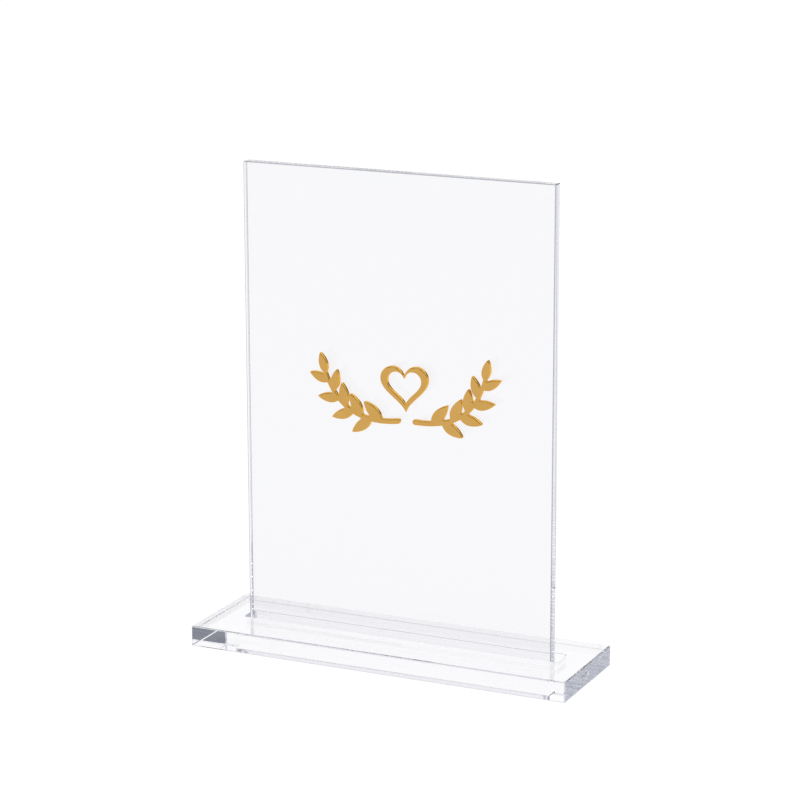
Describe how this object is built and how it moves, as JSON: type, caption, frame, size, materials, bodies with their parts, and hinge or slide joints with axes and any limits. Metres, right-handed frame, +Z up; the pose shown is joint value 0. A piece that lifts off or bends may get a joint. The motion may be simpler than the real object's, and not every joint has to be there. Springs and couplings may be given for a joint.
{
  "type": "acrylic table display stand",
  "caption": "Upright clear acrylic plate with a gold mirror ornament, standing in a grooved clear acrylic base slab; the plate lifts out.",
  "frame": {"origin": "middle of the base slab's underside", "axes": "+X along the plate to the right as seen from its front, +Y to the back, +Z up; the ornament faces -Y"},
  "size_m": [0.1852, 0.055, 0.2239],
  "materials": {
    "base_acrylic": "clear cast acrylic, flame polished edges",
    "plate_acrylic": "clear cast acrylic sheet, polished",
    "gold_mirror": "gold mirror acrylic, bevelled edges"
  },
  "bodies": {
    "base": {"base_slab": "base_acrylic"},
    "plate": {"clear_plate": "plate_acrylic", "ornament_left_sprig": "gold_mirror", "ornament_heart": "gold_mirror", "ornament_right_sprig": "gold_mirror"}
  },
  "joints": [
    {"name": "plate_lift", "type": "slide", "parent": "base", "child": "plate", "axis": [0, 0, 1], "range_m": [0, 0.012]}
  ]
}
